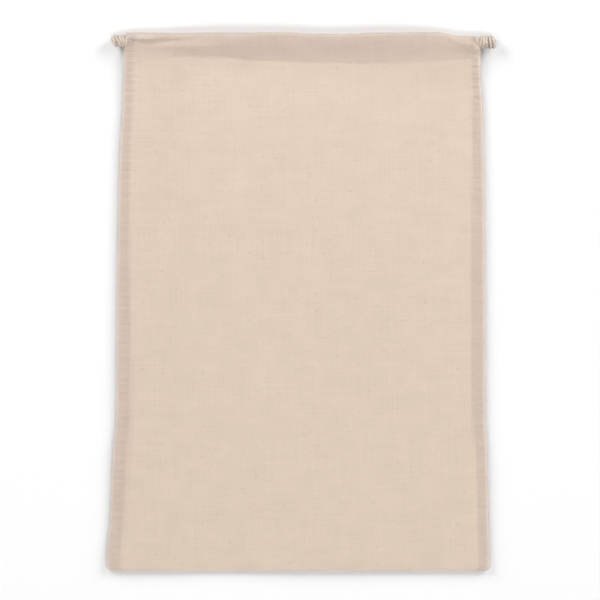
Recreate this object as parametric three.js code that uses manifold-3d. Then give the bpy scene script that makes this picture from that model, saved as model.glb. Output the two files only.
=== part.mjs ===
// Cotton drawstring bag, empty, lying on its back with its mouth towards +Y.
// One length of cloth is folded at the bottom and sewn up both sides. Its two ends are turned in
// as casings, front and back, and two cords run through both casings, each knotted at one side.
// Millimetres, +Z up. The back rests on z = 0 and the origin is under the middle of the bag.

import * as THREE from 'three';
import { mergeVertices } from 'three/addons/utils/BufferGeometryUtils.js';
import Module from 'manifold-3d';

// Driving sizes
const BAG_HEIGHT = 450;
const CLOTH = 1;
const LAYER_GAP = 0.4;
const CORD_DIAMETER = 2.8;
const CORD_CLEARANCE = 0.45;

// Side seams: the allowance inside, and the two layers that turn in at the seam line
const SEAM_ALLOWANCE = 8;
const SIDE_WALL = 2 * CLOTH;
const SEAM_STRIP = SIDE_WALL + SEAM_ALLOWANCE;
const SEAM_TOP = 418;
const SEAM_BOTTOM = 4;
const SIDE_ROUND = 2.3;
const SIDE_ROUND_END = 0.2;
const SIDE_ROUND_FADES = [405, 424];

// Bottom fold, and the crown that the air inside gives the front
const FOLD_ROUND = 2.1;
const SHOULDER = 60;

// Casings, by height above the bottom fold
const HEM_EDGE = 424;
const STITCH_LINE = 426.5;
const STITCH_DIP = 0.4;
const STITCH_HALF_WIDTH = 2;
const BAND_TOP = 437.5;
const ROLL_START = 441;
const BAND = 2 * CLOTH + LAYER_GAP;
const ROLL = 2 * CLOTH + 2 * CORD_CLEARANCE + CORD_DIAMETER;
const ROLL_FLAT = 0.6;
const ROLL_ROUND = (ROLL - ROLL_FLAT) / 2;
const CHANNEL_FLAT = 0.4;
const CHANNEL_ROUND = (ROLL - 2 * CLOTH - CHANNEL_FLAT) / 2;
const CHANNEL_TOP = BAG_HEIGHT - CLOTH;
const SLIT_START = HEM_EDGE - 3;
const CUT_PAST = 6;

// The turned-in layers stop short of a casing's ends, where the cords bend or leave for their knots
const CASING_INSET = 6;

// Cords: the height of each one's strands in the casings, and their bend at the far end
const STRAND_HEIGHT = { left: 443.7, right: 446.9 };
const BEND_LEAD = 0.9;
const BEND_STEPS = 8;
const KNOT_LEAD = 1.4;
const TUBE_SIDES = 8;

// Knots: the wound part along X, and the trimmed ends that stand out of it
const KNOTS = {
  left: { height: 443.3, from: -145.1, to: -156, tail: 0.9 },
  right: { height: 445, from: 150.1, to: 160.9, tail: 1.1 },
};
const WRAP_RADIUS = 3.7;
const WRAP_PITCH = 2.9;
const WRAP_STEPS_PER_TURN = 12;
const CORE_SPREAD = 1.45;
const LEAD_SPREAD = 1.5;
const FLOOR_GAP = 0.3;
const KNOT_CENTRE = FLOOR_GAP + WRAP_RADIUS + CORD_DIAMETER / 2;

// Outline of the bag, its side edges at each height
const OUTLINE = [
  { height: 0, left: -157.6, right: 154.2 },
  { height: 1.5, left: -160.2, right: 156.6 },
  { height: 5, left: -161.8, right: 158.2 },
  { height: 12, left: -162, right: 158.2 },
  { height: 40, left: -159.6, right: 157 },
  { height: 100, left: -157, right: 155.8 },
  { height: 128, left: -154.4, right: 154.2 },
  { height: 205, left: -153.6, right: 154 },
  { height: 290, left: -152.3, right: 153.6 },
  { height: 352, left: -151, right: 152.6 },
  { height: 392, left: -148.6, right: 151.6 },
  { height: 415, left: -147.8, right: 150 },
  { height: 432, left: -147.6, right: 149.8 },
  { height: 437, left: -147, right: 149.8 },
  { height: 441, left: -144.8, right: 149.6 },
  { height: 450, left: -144.6, right: 149 },
];

// Outer face of the front layer above the floor, without the cords' roll, at the seams and mid-width
const FRONT = [
  { height: 0, seam: 4.8, middle: 4.6 },
  { height: 60, seam: 4.8, middle: 5.8 },
  { height: 160, seam: 4.8, middle: 7.4 },
  { height: 300, seam: 4.8, middle: 11.8 },
  { height: 390, seam: 4.8, middle: 13.2 },
  { height: 426, seam: 6.8, middle: 13.4 },
  { height: 437.5, seam: 8, middle: 13.4 },
  { height: 441, seam: 8.5, middle: 13.4 },
];

// How far the cloth of the mouth has crept up or down, across the width from 0 to 1
const MOUTH_CREEP = [
  { across: 0, top: 0, hem: 4 },
  { across: 0.04, top: 0, hem: 4 },
  { across: 0.16, top: 0, hem: 3.6 },
  { across: 0.36, top: 0, hem: 1 },
  { across: 0.46, top: 0, hem: 0 },
  { across: 0.52, top: -1.5, hem: -0.8 },
  { across: 0.62, top: -1.5, hem: -1.4 },
  { across: 0.68, top: -0.4, hem: -1.4 },
  { across: 0.88, top: -0.4, hem: -0.6 },
  { across: 0.95, top: -2.6, hem: 0.6 },
  { across: 1, top: -2.9, hem: 1 },
];
const CREEP_START = 380;

// Soft creases in the front, as troughs between two points
const CREASES = [
  { fromX: -113, fromHeight: 296, toX: -21, toHeight: 268, depth: 0.7, halfWidth: 11 },
  { fromX: -138, fromHeight: 255, toX: 142, toHeight: 256, depth: 0.4, halfWidth: 12 },
  { fromX: 96, fromHeight: 352, toX: 142, toHeight: 318, depth: 0.6, halfWidth: 12 },
  { fromX: 17, fromHeight: 85, toX: 96, toHeight: 106, depth: 0.6, halfWidth: 11 },
  { fromX: -62, fromHeight: 43, toX: -21, toHeight: 47, depth: 0.5, halfWidth: 11 },
];

// Grid of the cloth: columns across it and rows up it
const ROUND_SHARES = [0, 0.13, 0.43, 1];
const SHOULDER_SHARES = [0, 0.27, 0.6, 1];
const SIDE_STEPS = SHOULDER_SHARES.map((share) => SEAM_STRIP + share * SHOULDER);
const MIDDLE_COLUMNS = 6;
const ROW_SPACING = 16;
const FIRST_ROW = 12;
const LAST_EVEN_ROW = 412;
const STITCH_ROWS = [STITCH_LINE - STITCH_HALF_WIDTH, STITCH_LINE, STITCH_LINE + STITCH_HALF_WIDTH];
const CASING_ROWS = [
  (STITCH_LINE + BAND_TOP) / 2,
  BAND_TOP,
  (BAND_TOP + ROLL_START) / 2,
  ROLL_START,
  (ROLL_START + BAG_HEIGHT - ROLL_ROUND) / 2,
];

const COTTON = new THREE.MeshStandardMaterial({ color: 0xe3d0be, roughness: 0.95, metalness: 0 });
const CORD = new THREE.MeshStandardMaterial({ color: 0xe8dccb, roughness: 0.9, metalness: 0 });

const wasm = await Module();
wasm.setup();

// Tables and easing

const clamp = (value) => Math.min(1, Math.max(0, value));
const linear = (t) => t;
const smooth = (t) => t * t * (3 - 2 * t);

function readTable(table, axis, at, column, ease) {
  const above = table.findIndex((row) => row[axis] >= at);
  if (above === -1) {
    return table.at(-1)[column];
  }
  if (above === 0) {
    return table[0][column];
  }
  const low = table[above - 1];
  const high = table[above];
  const share = ease((at - low[axis]) / (high[axis] - low[axis]));
  return low[column] + share * (high[column] - low[column]);
}

const leftEdge = (height) => readTable(OUTLINE, 'height', height, 'left', linear);
const rightEdge = (height) => readTable(OUTLINE, 'height', height, 'right', linear);

// Surfaces of the cloth, as heights over the floor

function sideDistance(x, height) {
  return Math.min(x - leftEdge(height), rightEdge(height) - x);
}

// Drop of a rounded edge at a distance in from that edge
function edgeDrop(distance, radius) {
  const inside = radius - Math.min(radius, Math.max(0, distance));
  return radius - Math.sqrt(radius * radius - inside * inside);
}

function creaseDepth(x, height) {
  let depth = 0;
  for (const crease of CREASES) {
    const line = new THREE.Line3(
      new THREE.Vector3(crease.fromX, crease.fromHeight),
      new THREE.Vector3(crease.toX, crease.toHeight),
    );
    const here = new THREE.Vector3(x, height);
    const nearest = line.closestPointToPoint(here, true, new THREE.Vector3());
    const share = nearest.distanceTo(here) / crease.halfWidth;
    depth += crease.depth * Math.exp(-share * share);
  }
  return depth;
}

// Depth of a casing through both layers: flat below the cords, round over them
function casingDepth(height) {
  return BAND + (ROLL - BAND) * smooth(clamp((height - BAND_TOP) / (ROLL_START - BAND_TOP)));
}

function frontOuter(x, height) {
  const crown = smooth(clamp((sideDistance(x, height) - SEAM_STRIP) / SHOULDER));
  const seam = readTable(FRONT, 'height', height, 'seam', smooth);
  const middle = readTable(FRONT, 'height', height, 'middle', smooth);
  const stitchShare = (height - STITCH_LINE) / STITCH_HALF_WIDTH;
  const dip = STITCH_DIP * Math.exp(-stitchShare * stitchShare);
  const roll = casingDepth(height) - BAND;
  return seam + crown * (middle - seam - creaseDepth(x, height)) + roll - dip;
}

// Where the cloth lies: the mouth's edge and its hem wander up and down across the width
function place(x, height, z) {
  const across = clamp((x - leftEdge(height)) / (rightEdge(height) - leftEdge(height)));
  const top = readTable(MOUTH_CREEP, 'across', across, 'top', smooth);
  const hem = readTable(MOUTH_CREEP, 'across', across, 'hem', smooth);
  const toHem = smooth(clamp((height - CREEP_START) / (STITCH_LINE - CREEP_START)));
  const toTop = clamp((height - STITCH_LINE) / (BAND_TOP - STITCH_LINE));
  const creep = toHem * hem + toTop * (top - hem);
  return new THREE.Vector3(x, height - BAG_HEIGHT / 2 + creep, z);
}

// Grid columns and rows

// Columns step in from each side edge, with even ones between; a column gives x at any height
function columns(sideSteps) {
  const inner = sideSteps.at(-1);
  const fromLeft = sideSteps.map((step) => (height) => leftEdge(height) + step);
  const fromRight = sideSteps.map((step) => (height) => rightEdge(height) - step).reverse();
  const middle = Array.from({ length: MIDDLE_COLUMNS }, (_, i) => (height) => {
    const start = leftEdge(height) + inner;
    const end = rightEdge(height) - inner;
    return start + ((i + 1) / (MIDDLE_COLUMNS + 1)) * (end - start);
  });
  return [...fromLeft, ...middle, ...fromRight];
}

function evenRows() {
  const count = Math.round((LAST_EVEN_ROW - FIRST_ROW) / ROW_SPACING);
  return Array.from({ length: count + 1 }, (_, i) => FIRST_ROW + i * ROW_SPACING);
}

const roundStart = (at, radius) => ROUND_SHARES.map((share) => at + share * radius);
const roundEnd = (at, radius) => ROUND_SHARES.map((share) => at - share * radius).reverse();

// A closed solid between an upper and a lower face over one grid
function slab(gridColumns, rows, upper, lower) {
  const wide = gridColumns.length;
  const long = rows.length;
  const positions = [];
  for (const face of [upper, lower]) {
    for (const height of rows) {
      for (const column of gridColumns) {
        const x = column(height);
        positions.push(...place(x, height, face(x, height)).toArray());
      }
    }
  }
  const index = [];
  const below = wide * long;
  for (let row = 0; row < long - 1; row += 1) {
    for (let column = 0; column < wide - 1; column += 1) {
      const a = row * wide + column;
      const b = a + 1;
      const c = b + wide;
      const d = a + wide;
      index.push(a, b, c, a, c, d);
      index.push(below + a, below + c, below + b, below + a, below + d, below + c);
    }
  }
  const rim = [];
  for (let column = 0; column < wide - 1; column += 1) {
    rim.push([column, column + 1]);
    rim.push([below - 1 - column, below - 2 - column]);
  }
  for (let row = 0; row < long - 1; row += 1) {
    rim.push([row * wide + wide - 1, (row + 1) * wide + wide - 1]);
    rim.push([(row + 1) * wide, row * wide]);
  }
  for (const [from, to] of rim) {
    index.push(below + from, below + to, to, below + from, to, from);
  }
  const geometry = new THREE.BufferGeometry();
  geometry.setAttribute('position', new THREE.Float32BufferAttribute(positions, 3));
  geometry.setIndex(index);
  return geometry;
}

// Solids for joining and cutting

function toSolid(geometry) {
  geometry.deleteAttribute('normal');
  geometry.deleteAttribute('uv');
  const merged = mergeVertices(geometry, 1e-4);
  return new wasm.Manifold(new wasm.Mesh({
    numProp: 3,
    vertProperties: new Float32Array(merged.attributes.position.array),
    triVerts: new Uint32Array(merged.index.array),
  }));
}

function toGeometry(solid) {
  const mesh = solid.getMesh();
  const geometry = new THREE.BufferGeometry();
  geometry.setAttribute('position', new THREE.BufferAttribute(mesh.vertProperties, 3));
  geometry.setIndex(new THREE.BufferAttribute(mesh.triVerts, 1));
  geometry.computeVertexNormals();
  return geometry;
}

// The cloth

function sideRadius(height) {
  const [start, end] = SIDE_ROUND_FADES;
  const fade = smooth(clamp((height - start) / (end - start)));
  return SIDE_ROUND + fade * (SIDE_ROUND_END - SIDE_ROUND);
}

// The whole folded bag as if it were filled, with round sides, fold and mouth
function bagEnvelope() {
  const roundColumns = (edge, inward) => ROUND_SHARES.map(
    (share) => (height) => edge(height) + inward * share * sideRadius(height),
  );
  const gridColumns = [
    ...roundColumns(leftEdge, 1),
    ...columns(SIDE_STEPS),
    ...roundColumns(rightEdge, -1).reverse(),
  ];
  const rows = [
    ...roundStart(0, FOLD_ROUND),
    ...evenRows(),
    ...STITCH_ROWS,
    ...CASING_ROWS,
    ...roundEnd(BAG_HEIGHT, ROLL_ROUND),
  ];
  const drop = (x, height) => Math.max(
    edgeDrop(sideDistance(x, height), sideRadius(height)),
    edgeDrop(height, FOLD_ROUND),
    edgeDrop(BAG_HEIGHT - height, ROLL_ROUND),
  );
  const upper = (x, height) => frontOuter(x, height) - drop(x, height);
  return toSolid(slab(gridColumns, rows, upper, drop));
}

// The hollow between front and back, up to the turned-in edges of the hems
function bagHollow() {
  const rows = [...roundStart(CLOTH, FOLD_ROUND - CLOTH), ...evenRows(), HEM_EDGE];
  const round = (height) => edgeDrop(height - CLOTH, FOLD_ROUND - CLOTH);
  const upper = (x, height) => frontOuter(x, height) - CLOTH - round(height);
  const lower = (x, height) => CLOTH + round(height);
  return toSolid(slab(columns([SIDE_WALL, ...SIDE_STEPS]), rows, upper, lower));
}

// The mouth between the two casings, open at both side ends
function mouthSlit() {
  const rows = [
    SLIT_START,
    STITCH_LINE,
    ...CASING_ROWS,
    ...roundEnd(BAG_HEIGHT, ROLL_ROUND),
    BAG_HEIGHT + CUT_PAST,
  ];
  const round = (height) => edgeDrop(BAG_HEIGHT - height, ROLL_ROUND);
  const upper = (x, height) => frontOuter(x, height) - casingDepth(height) + round(height);
  const lower = (x, height) => casingDepth(height) - round(height);
  return toSolid(slab(columns([-CUT_PAST, ...SIDE_STEPS]), rows, upper, lower));
}

// Rows of a casing's tunnel, from its stitch line to its round top
function channelRows() {
  return [STITCH_LINE + LAYER_GAP, ...CASING_ROWS, ...roundEnd(CHANNEL_TOP, CHANNEL_ROUND)];
}

// How deep the tunnel starts under a casing's face: one layer, and more at its round top
function channelStart(height) {
  return CLOTH + edgeDrop(CHANNEL_TOP - height, CHANNEL_ROUND);
}

// The tunnel of one casing, open at both side ends
function casingChannel(outerFace, inward) {
  const end = (height) => casingDepth(height) - channelStart(height);
  const nearOuter = (x, height) => outerFace(x, height) + inward * channelStart(height);
  const nearInner = (x, height) => outerFace(x, height) + inward * end(height);
  const faces = inward > 0 ? [nearInner, nearOuter] : [nearOuter, nearInner];
  return toSolid(slab(columns([-CUT_PAST, ...SIDE_STEPS]), channelRows(), ...faces));
}

// The open end of both casings at one side, under the outer layers
function casingEnd(edge, inward) {
  const past = (height) => edge(height) - inward * CUT_PAST;
  const inset = (height) => edge(height) + inward * CASING_INSET;
  const lower = (x, height) => channelStart(height);
  const upper = (x, height) => frontOuter(x, height) - channelStart(height);
  const gridColumns = inward > 0 ? [past, inset] : [inset, past];
  return toSolid(slab(gridColumns, channelRows(), upper, lower));
}

// The seam allowance of one side: two layers that lie inside, between front and back
function seamAllowance(edge, inward) {
  const near = (height) => edge(height) + inward * CLOTH;
  const far = (height) => edge(height) + inward * SEAM_STRIP;
  const rows = [SEAM_BOTTOM, ...evenRows(), SEAM_TOP];
  const lower = () => CLOTH + LAYER_GAP;
  const upper = () => 3 * CLOTH + LAYER_GAP;
  const gridColumns = inward > 0 ? [near, far] : [far, near];
  return toSolid(slab(gridColumns, rows, upper, lower));
}

function bagCloth() {
  const floor = () => 0;
  return bagEnvelope()
    .subtract(bagHollow())
    .subtract(mouthSlit())
    .subtract(casingChannel(frontOuter, -1))
    .subtract(casingChannel(floor, 1))
    .subtract(casingEnd(leftEdge, 1))
    .subtract(casingEnd(rightEdge, -1))
    .add(seamAllowance(leftEdge, 1))
    .add(seamAllowance(rightEdge, -1));
}

// The cords

// A curve whose even steps fall on its own points, so that bends can have closer steps
class Route extends THREE.CatmullRomCurve3 {
  getPointAt(share, target) {
    return this.getPoint(share, target);
  }

  getTangentAt(share, target) {
    return this.getTangent(share, target);
  }
}

function cordTube(points) {
  const radius = CORD_DIAMETER / 2;
  const section = new THREE.Shape(
    new THREE.EllipseCurve(0, 0, radius, radius).getPoints(TUBE_SIDES).slice(0, -1),
  );
  const geometry = new THREE.ExtrudeGeometry(section, {
    steps: points.length - 1,
    extrudePath: new Route(points),
  });
  return toSolid(geometry);
}

// Points of one strand in a casing, from the knot's side to the far side
function strand(side, height, centre) {
  const across = columns([CASING_INSET, ...SIDE_STEPS]).map((column) => column(height));
  const ordered = side === 'left' ? across : across.reverse();
  return ordered.map((x) => place(x, height, centre(x, height)));
}

function drawstring(side) {
  const height = STRAND_HEIGHT[side];
  const knot = KNOTS[side];
  const outward = side === 'left' ? -1 : 1;
  const frontCentre = (x) => frontOuter(x, height) - ROLL / 2;
  const backCentre = () => ROLL / 2;

  // The two ends lie side by side through the knot, each led straight out of its casing first,
  // past the bend of the other cord
  const core = (x, spread) => place(x, knot.height, KNOT_CENTRE + spread);
  const ends = (spread) => [
    core(knot.to + outward * knot.tail, spread),
    core((knot.from + knot.to) / 2, spread),
    place(knot.from - outward * KNOT_LEAD, height, KNOT_CENTRE + LEAD_SPREAD * spread),
  ];

  // The bend at the far end, from the front casing down to the back one
  const farEdge = side === 'left' ? rightEdge(height) : leftEdge(height);
  const farEnd = farEdge + outward * CASING_INSET;
  const radius = (frontCentre(farEnd) - backCentre()) / 2;
  const bendCentre = farEnd - outward * BEND_LEAD;
  const bend = Array.from({ length: BEND_STEPS + 1 }, (_, i) => {
    const angle = (i / BEND_STEPS) * Math.PI;
    const x = bendCentre - outward * radius * Math.sin(angle);
    return place(x, height, backCentre() + radius * (1 + Math.cos(angle)));
  });

  const route = cordTube([
    ...ends(CORE_SPREAD),
    ...strand(side, height, frontCentre),
    ...bend,
    ...strand(side, height, backCentre).reverse(),
    ...ends(-CORE_SPREAD).reverse(),
  ]);
  return route.add(knotWrap(knot, outward));
}

// The turns of cord wound round the two ends, with the winding's own ends tucked in
function knotWrap(knot, outward) {
  const start = knot.from + outward * CORD_DIAMETER / 2;
  const end = knot.to - outward * CORD_DIAMETER / 2;
  const turns = Math.abs(end - start) / WRAP_PITCH;
  const steps = Math.round(turns * WRAP_STEPS_PER_TURN);
  const points = Array.from({ length: steps + 1 }, (_, i) => {
    const share = i / steps;
    const angle = share * turns * 2 * Math.PI;
    const x = start + share * (end - start);
    const across = WRAP_RADIUS * Math.sin(angle);
    return place(x, knot.height + across, KNOT_CENTRE + WRAP_RADIUS * Math.cos(angle));
  });
  return cordTube(points);
}

// The part

function named(name, solid, material) {
  const mesh = new THREE.Mesh(toGeometry(solid), material);
  mesh.name = name;
  return mesh;
}

const bag = new THREE.Group();
bag.add(named('bag_cloth', bagCloth(), COTTON));
bag.add(named('drawstring_left', drawstring('left'), CORD));
bag.add(named('drawstring_right', drawstring('right'), CORD));

export default bag;
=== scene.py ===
"""Cotton drawstring bag, empty, lying on its back on a pale floor.

The file is laid out as a Blender add-on: property groups hold the sizes and colours, one operator makes
each piece or group of like pieces, and a panel lists them. Run as a script, it dresses the solids of the bag.
Shapes are worked out in millimetres, with heights measured up the bag from its bottom fold, and become
metres when a mesh is made.
"""

import math
from collections import namedtuple

import bpy
import numpy as np
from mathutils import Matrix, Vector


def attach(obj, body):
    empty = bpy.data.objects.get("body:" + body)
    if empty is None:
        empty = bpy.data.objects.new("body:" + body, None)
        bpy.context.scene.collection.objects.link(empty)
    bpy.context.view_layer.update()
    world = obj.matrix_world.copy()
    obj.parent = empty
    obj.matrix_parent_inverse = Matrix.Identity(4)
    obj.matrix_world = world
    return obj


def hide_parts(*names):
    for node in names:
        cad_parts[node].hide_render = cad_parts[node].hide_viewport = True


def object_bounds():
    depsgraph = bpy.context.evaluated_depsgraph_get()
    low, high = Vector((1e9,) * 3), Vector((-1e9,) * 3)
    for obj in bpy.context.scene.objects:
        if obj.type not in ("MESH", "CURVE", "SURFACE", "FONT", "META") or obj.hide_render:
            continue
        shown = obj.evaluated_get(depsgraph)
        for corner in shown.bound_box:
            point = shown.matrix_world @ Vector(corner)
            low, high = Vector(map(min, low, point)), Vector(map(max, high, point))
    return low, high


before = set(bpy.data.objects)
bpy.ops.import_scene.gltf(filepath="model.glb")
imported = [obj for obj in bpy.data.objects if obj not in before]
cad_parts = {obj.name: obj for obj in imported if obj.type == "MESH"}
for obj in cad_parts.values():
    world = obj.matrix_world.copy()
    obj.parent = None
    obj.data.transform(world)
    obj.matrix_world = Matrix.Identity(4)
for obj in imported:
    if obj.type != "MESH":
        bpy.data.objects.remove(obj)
CAD_BOX = [list(corner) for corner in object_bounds()]

bl_info = {
    "name": "Drawstring Bag",
    "version": (1, 0, 0),
    "blender": (4, 5, 0),
    "location": "3D View > Sidebar > Bag",
    "description": "Makes a cotton drawstring bag with its casings, cords and stitching",
    "category": "Add Mesh",
}

MM = 0.001
TURN = 2 * math.pi

# Heights on the bag
BAG_HEIGHT = (CAD_BOX[1][1] - CAD_BOX[0][1]) / MM
HEM_EDGE = 424
STITCH_LINE = 426.5
BAND_TOP = 437.5
CASING_START = 418
CREEP_START = 380
CREEP_END = 445
GATHER_START = 385
SEAM_END = 412

# Sewing
SEAM_STRIP = 10
SEAM_ALLOWANCE = 8
SEAM_GAP = 0.6
SHOULDER = 60
CASING_TURN = 0.3
CASING_ALLOWANCE = 3.5
CASING_INSET = 6
HEM_INSET = CASING_INSET + math.pi * CASING_TURN + CASING_ALLOWANCE
STITCH_DIP = 0.1
BACK_DIP = 0.4
STITCH_HALF_WIDTH = 1.6
STITCH_INSET = 2.5
STITCH_PITCH = 1.14
STITCH_LIFT = -0.4
STITCH_SINK = 2.2
SLACK_HEM_END = 0.1
SLACK_HEM_SOFT = 0.12
BAND = 2.4
ROLL = 5.7
LAYER_GAP = 0.15

# Grid of the cloth
STRIP_COLUMNS = (1.6, 2.8, 4.4, 6.2, 8.2, 10.4, 13, 17)
MIDDLE_COLUMNS = 68
CURL_STEPS = 4
ALLOWANCE_SHARES = (0.5, 1)
FINE_ROW = 0.85
COARSE_EVERY = 6
BACK_ROW = 10
CASING_ROWS = 42
BACK_CASING_ROWS = 16
HEM_ROWS = 28
TOP_STEPS = 10
FOLD_STEPS = 8
TUCK_PACE = 1.6
TUCK_DELAY = 0.5
LEAST_TURN = 1e-4

# Roll of the mouth
SLACK_FOOT = 423
SLACK_SHOULDER = 437.5
BROW_START = 446.8
BROW_SOFT = 2.4

# How much of a fold's arch is missing at each end
FOLD_TAPER = 0.2

# Tints of the cloth: the darker tone where extra cloth shows through, which also paints shade, and the
# painted highlight
MOST_LAYERS_AND_SHADE = 1.4
# Painted highlight: how strongly the paler tone is painted on the crest over the cords, on the side edges
# below the casing and on the bottom fold
PAINTED_HIGHLIGHT_CREST = 0.33
PAINTED_HIGHLIGHT_SIDES = 0.6
PAINTED_HIGHLIGHT_BOTTOM = 0.7
PAINTED_HIGHLIGHT_SIDES_TOP = 436
PAINTED_HIGHLIGHT_SIDES_SOFT = 16
RIM_END = 2.4
RIM_SOFT = 2

# Cords and knots
STRAND = {"left": 443.7, "right": 446.9}
BEND_LEAD = 0.9
BEND_STEPS = 8
KNOT_LEAD = 1.4
KNOT_CENTRE = 6.2
CORE_SPREAD = 1.45
END_STAGGER = 1.3
WRAP_RADIUS = 4.5
LEAN_PHASE = 1.2
HEART_RADIUS = 3.4
HEART_INSET = 0.3
STRAND_POINTS = 24
WRAP_POINTS = 24
HEART_POINTS = 8
STITCH_POINTS = 7
DENSE_POINTS = 12
CORD_STEP = 0.7
WRAP_STEP = 0.45
PLY_SIDES = 7
HEART_SIDES = 12
THREAD_SIDES = 6
PLY_RADIUS = 0.26
PLY_END = 0.55
PLY_SHIFT = 0.37
SIDE_START = (0.3, 0.2, 1)

# Floor in metres, and how far it lies below the bag in millimetres
FLOOR_HALF = 6
FLOOR_DROP = 0.05

Edge = namedtuple("Edge", "height left right")
Face = namedtuple("Face", "height seam middle")
Creep = namedtuple("Creep", "across top hem")
Casing = namedtuple("Casing", "across foot shoulder lower upper crest slack")
Tint = namedtuple("Tint", "across band edge shade reach pale soft crown")
Strip = namedtuple("Strip", "height left right")
Seam = namedtuple("Seam", "side soft rim gain start run run_share")
Crease = namedtuple("Crease", "from_x from_height to_x to_height depth half_width")
Wave = namedtuple("Wave", "across along shift height")
Pucker = namedtuple("Pucker", "side pitch depth inset reach tint")
Pull = namedtuple("Pull", "height left right")
Ripple = namedtuple("Ripple", "strength pace shift")
Knot = namedtuple("Knot", "height start end sink slant")
Spread = namedtuple("Spread", "up over")
Wrap = namedtuple("Wrap", "turn along reach lean")
Grain = namedtuple("Grain", "across along detail shift")
Lamp = namedtuple("Lamp", "name x y z size power bag_only")

# Side edges of the bag
OUTLINE = [
    Edge(0, -157.2, 154.2),
    Edge(1.5, -159.8, 156.6),
    Edge(5, -161.4, 158.2),
    Edge(12, -161.6, 158.2),
    Edge(40, -159.1, 157.5),
    Edge(100, -156.4, 156.3),
    Edge(128, -153.8, 154.8),
    Edge(205, -153.2, 154.5),
    Edge(290, -152.1, 154.2),
    Edge(352, -150.5, 153.3),
    Edge(392, -148.2, 152.3),
    Edge(415, -147.6, 150.4),
    Edge(432, -146.9, 150.4),
    Edge(437, -146.5, 150.2),
    Edge(441, -144.8, 149.6),
    Edge(450, -144.6, 149),
]

# Outer face of the front above the floor, without the cords' roll
FRONT = [
    Face(0, 4.8, 4.6),
    Face(60, 4.8, 5.8),
    Face(160, 4.8, 7.4),
    Face(300, 4.8, 11.8),
    Face(390, 4.8, 13.2),
    Face(426, 6.8, 13.4),
    Face(437.5, 8, 13.4),
    Face(441, 8.5, 13.4),
]

# How far the mouth has crept up or down, across the width from 0 to 1
MOUTH_CREEP = [
    Creep(0, -0.4, 4),
    Creep(0.04, -0.4, 4),
    Creep(0.1, -0.5, 4.2),
    Creep(0.17, -0.7, 4.4),
    Creep(0.22, -0.6, 3.4),
    Creep(0.29, -0.5, 2.4),
    Creep(0.36, -0.4, -0.3),
    Creep(0.46, -0.3, -0.7),
    Creep(0.52, -1.5, -1.7),
    Creep(0.62, -1.6, -1.8),
    Creep(0.69, -0.7, -2.7),
    Creep(0.78, -0.4, -1.7),
    Creep(0.88, -0.2, -0.3),
    Creep(0.95, -3.3, 1.5),
    Creep(1, -3.1, 0.9),
]

# The front casing over its cords: where it leaves the flat band and where it is full, the heights of the
# two strands, the fall from the crest to the mouth's edge, and how much of the rise the slack cloth makes
# lower down
CASINGS = [
    Casing(0, 443, 446.6, 443.7, 446.9, 2.85, 0),
    Casing(0.018, 442, 446.4, 444.2, 447.3, 2.85, 0),
    Casing(0.037, 440.4, 445.4, 444.8, 447.8, 2.85, 0),
    Casing(0.065, 439, 444.8, 445, 448, 2.9, 0),
    Casing(0.085, 439, 446, 445.1, 448, 2.9, 0.12),
    Casing(0.12, 440.5, 447.5, 445.1, 448, 2.9, 0.55),
    Casing(0.15, 441, 448, 445, 448, 2.9, 0.88),
    Casing(0.185, 423, 437.5, 444.6, 447.6, 2.9, 1),
    Casing(0.22, 422.5, 438.5, 444, 447, 2.85, 0),
    Casing(0.32, 425, 445, 443.7, 446.9, 2.8, 0),
    Casing(0.45, 427.5, 446.5, 443.7, 446.9, 2.75, 0),
    Casing(0.65, 427.5, 447, 443.7, 446.9, 2.75, 0),
    Casing(0.8, 427.5, 446, 443.7, 446.9, 3, 0),
    Casing(0.92, 426, 448, 443.7, 446.9, 3, 0),
    Casing(1, 426, 447.5, 443.7, 446.9, 2.85, 0),
]
BACK_CASING = [
    Casing(0, 437.5, 443.5, 443.7, 446.9, 2.85, 0),
    Casing(1, 437.5, 443.5, 443.7, 446.9, 2.85, 0),
]

# How the hem shows through the front: strength of the band, partly the hem's extra cloth and partly painted
# shade of its slope and creases, and softness of its lower edge, the painted shade below it and how far that
# reaches, where the painted highlight over the cords begins and how softly, and how much painted shade
# darkens the last of the roll
TINTS = [
    Tint(0, 0.36, 12, 0.3, 17, 446.4, 1.6, 0.3),
    Tint(0.018, 0.36, 12, 0.3, 17, 444.2, 1.6, 0.5),
    Tint(0.037, 0.32, 12, 0.3, 17, 443.6, 1.6, 0.75),
    Tint(0.065, 0.38, 11, 0.22, 17, 444, 2.4, 0.8),
    Tint(0.095, 0.4, 7, 0.3, 17, 446, 8, 0.7),
    Tint(0.135, 0.46, 5, 0.36, 17, 447, 9, 0.6),
    Tint(0.19, 0.56, 3, 0.36, 18, 447, 9, 0.45),
    Tint(0.25, 0.8, 3, 0.36, 18, 443.5, 8, 0.3),
    Tint(0.3, 1, 3, 0.34, 18, 443, 7, 0.3),
    Tint(0.36, 1, 3, 0.32, 18, 445, 5, 0.3),
    Tint(0.43, 1.05, 4.5, 0.3, 16, 446.8, 2.4, 0.3),
    Tint(0.6, 1.1, 3, 0.26, 20, 446.4, 1.8, 0.15),
    Tint(0.75, 0.92, 3, 0.26, 32, 446.7, 2.2, 0.1),
    Tint(0.88, 0.8, 3, 0.3, 45, 446.3, 2.2, 0.1),
    Tint(0.935, 0.4, 4, 0.24, 45, 446.8, 3, 0.3),
    Tint(0.962, 0.62, 4, 0.24, 45, 446.8, 3, 0.3),
    Tint(0.985, 0.14, 5, 0.12, 45, 447, 3, 0.3),
    Tint(1, 0.1, 6, 0.1, 45, 447.2, 3, 0.3),
]

# Width of the turned-in allowance that shows through the front as a darker strip
ALLOWANCES = [
    Strip(0, 12, 9),
    Strip(60, 12.5, 9.2),
    Strip(143, 12.8, 11.1),
    Strip(205, 12, 11.8),
    Strip(310, 9.3, 10.6),
    Strip(412, 8.3, 7.7),
]

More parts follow.
